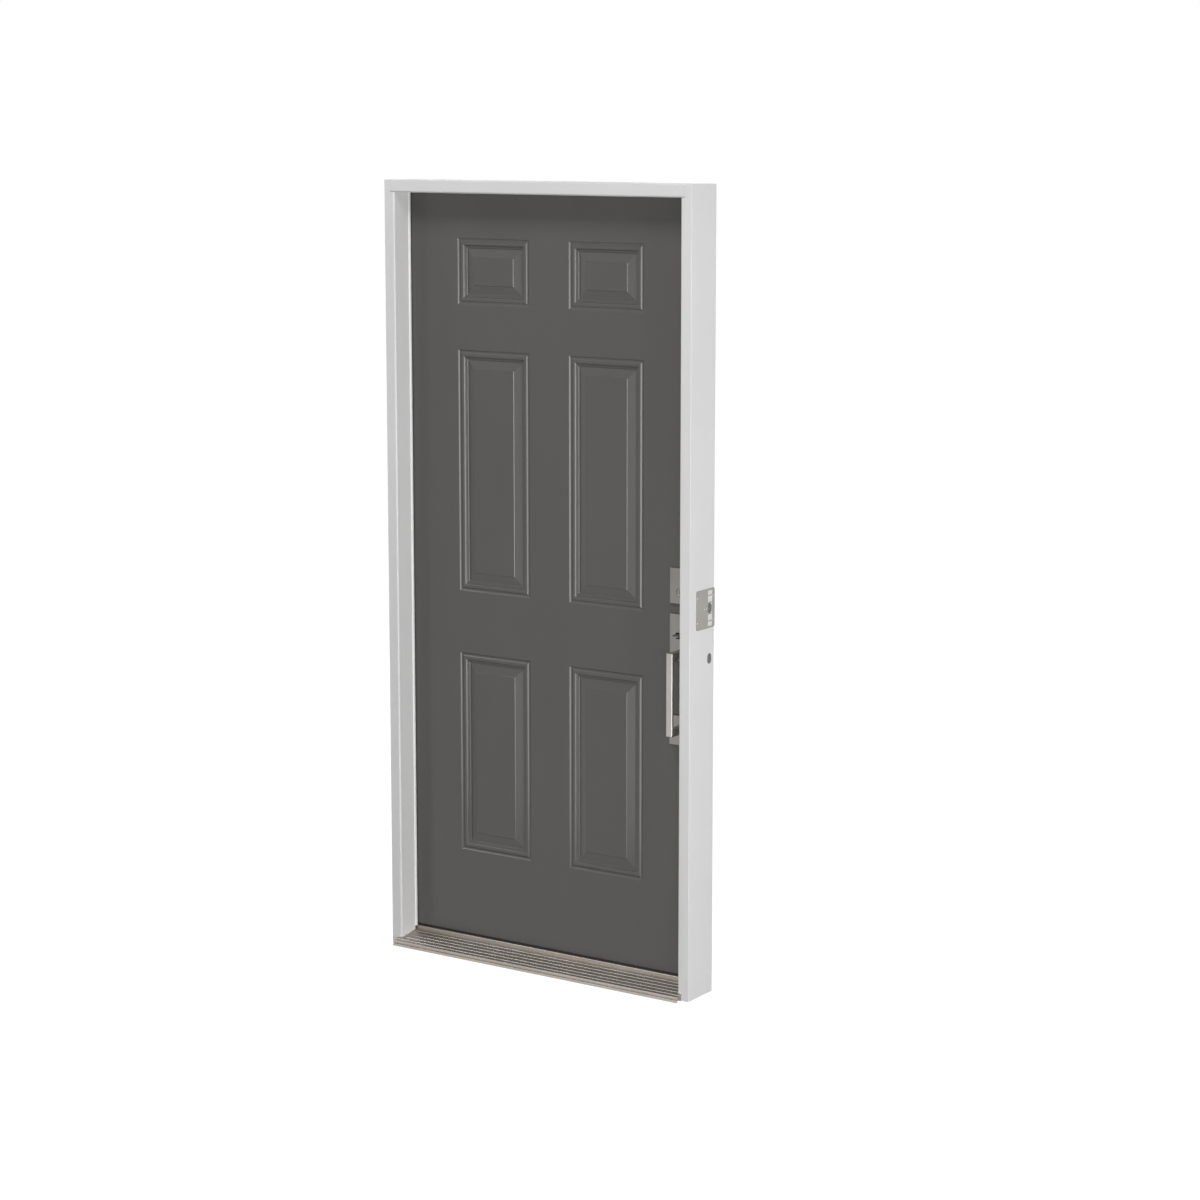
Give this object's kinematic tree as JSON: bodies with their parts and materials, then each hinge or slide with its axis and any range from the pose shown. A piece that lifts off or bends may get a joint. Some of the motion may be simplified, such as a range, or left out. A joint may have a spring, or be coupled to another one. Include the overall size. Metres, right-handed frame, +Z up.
{
  "type": "steel entry door in a jamb set",
  "caption": "Pre-hung steel entry door: embossed six-panel leaf with a lever-and-thumb-piece lock, hinged in a white rabbeted jamb set on a ribbed metal sill.",
  "frame": {"origin": "on the underside of the sill, at mid width, in the plane of the jambs' outdoor edges", "axes": "+X towards the lock side as seen from outdoors, +Y into the building, +Z up"},
  "size_m": [0.954, 0.1922, 2.0701],
  "materials": {
    "white_paint": "satin",
    "white_seal": "matte",
    "sill_metal": "satin",
    "sill_composite": "matte",
    "plain_steel": "satin",
    "satin_nickel": "satin",
    "hinge_steel": "satin",
    "grey_paint": "satin",
    "foam": "matte",
    "edge_wood": "matte",
    "black_vinyl": "matte"
  },
  "bodies": {
    "frame": {"hinge_jamb": "white_paint", "strike_jamb": "white_paint", "head_jamb": "white_paint", "weatherstrip_hinge_side": "white_seal", "weatherstrip_strike_side": "white_seal", "weatherstrip_head": "white_seal", "sill_deck": "sill_metal", "sill_base": "sill_composite", "sill_cap": "sill_metal", "security_plate": "plain_steel", "deadbolt_strike": "satin_nickel", "latch_strike": "satin_nickel", "jamb_hinge_leaf_bottom": "hinge_steel", "hinge_pin_bottom": "hinge_steel", "jamb_hinge_leaf_middle": "hinge_steel", "hinge_pin_middle": "hinge_steel", "jamb_hinge_leaf_top": "hinge_steel", "hinge_pin_top": "hinge_steel"},
    "door_leaf": {"outer_skin": "grey_paint", "inner_skin": "grey_paint", "foam_core": "foam", "hinge_stile": "edge_wood", "lock_stile": "edge_wood", "top_rail": "edge_wood", "bottom_rail": "edge_wood", "door_sweep": "black_vinyl", "deadbolt_plate": "satin_nickel", "key_cylinder": "satin_nickel", "deadbolt_case": "satin_nickel", "deadbolt": "satin_nickel", "latch_case": "satin_nickel", "latch_bolt": "satin_nickel", "handle_upper_plate": "satin_nickel", "handle_lower_plate": "satin_nickel", "grip_handle": "satin_nickel", "deadbolt_rose": "satin_nickel", "thumb_turn": "satin_nickel", "lever_rose": "satin_nickel", "inside_lever": "satin_nickel", "door_hinge_leaf_bottom": "hinge_steel", "door_hinge_leaf_middle": "hinge_steel", "door_hinge_leaf_top": "hinge_steel"},
    "thumb_piece": {"thumb_piece": "satin_nickel"}
  },
  "joints": [
    {"name": "leaf_swing", "type": "hinge", "parent": "frame", "child": "door_leaf", "pos_m": [-0.4547, 0.12245, 1], "axis": [0, 0, 1], "range_deg": [0, 110]},
    {"name": "thumb_press", "type": "hinge", "parent": "door_leaf", "child": "thumb_piece", "pos_m": [0.4058, 0.07545, 0.9335], "axis": [1, 0, 0], "range_deg": [0, 14], "stiffness_Nm_per_rad": 0.3, "springref_deg": -11.46}
  ]
}
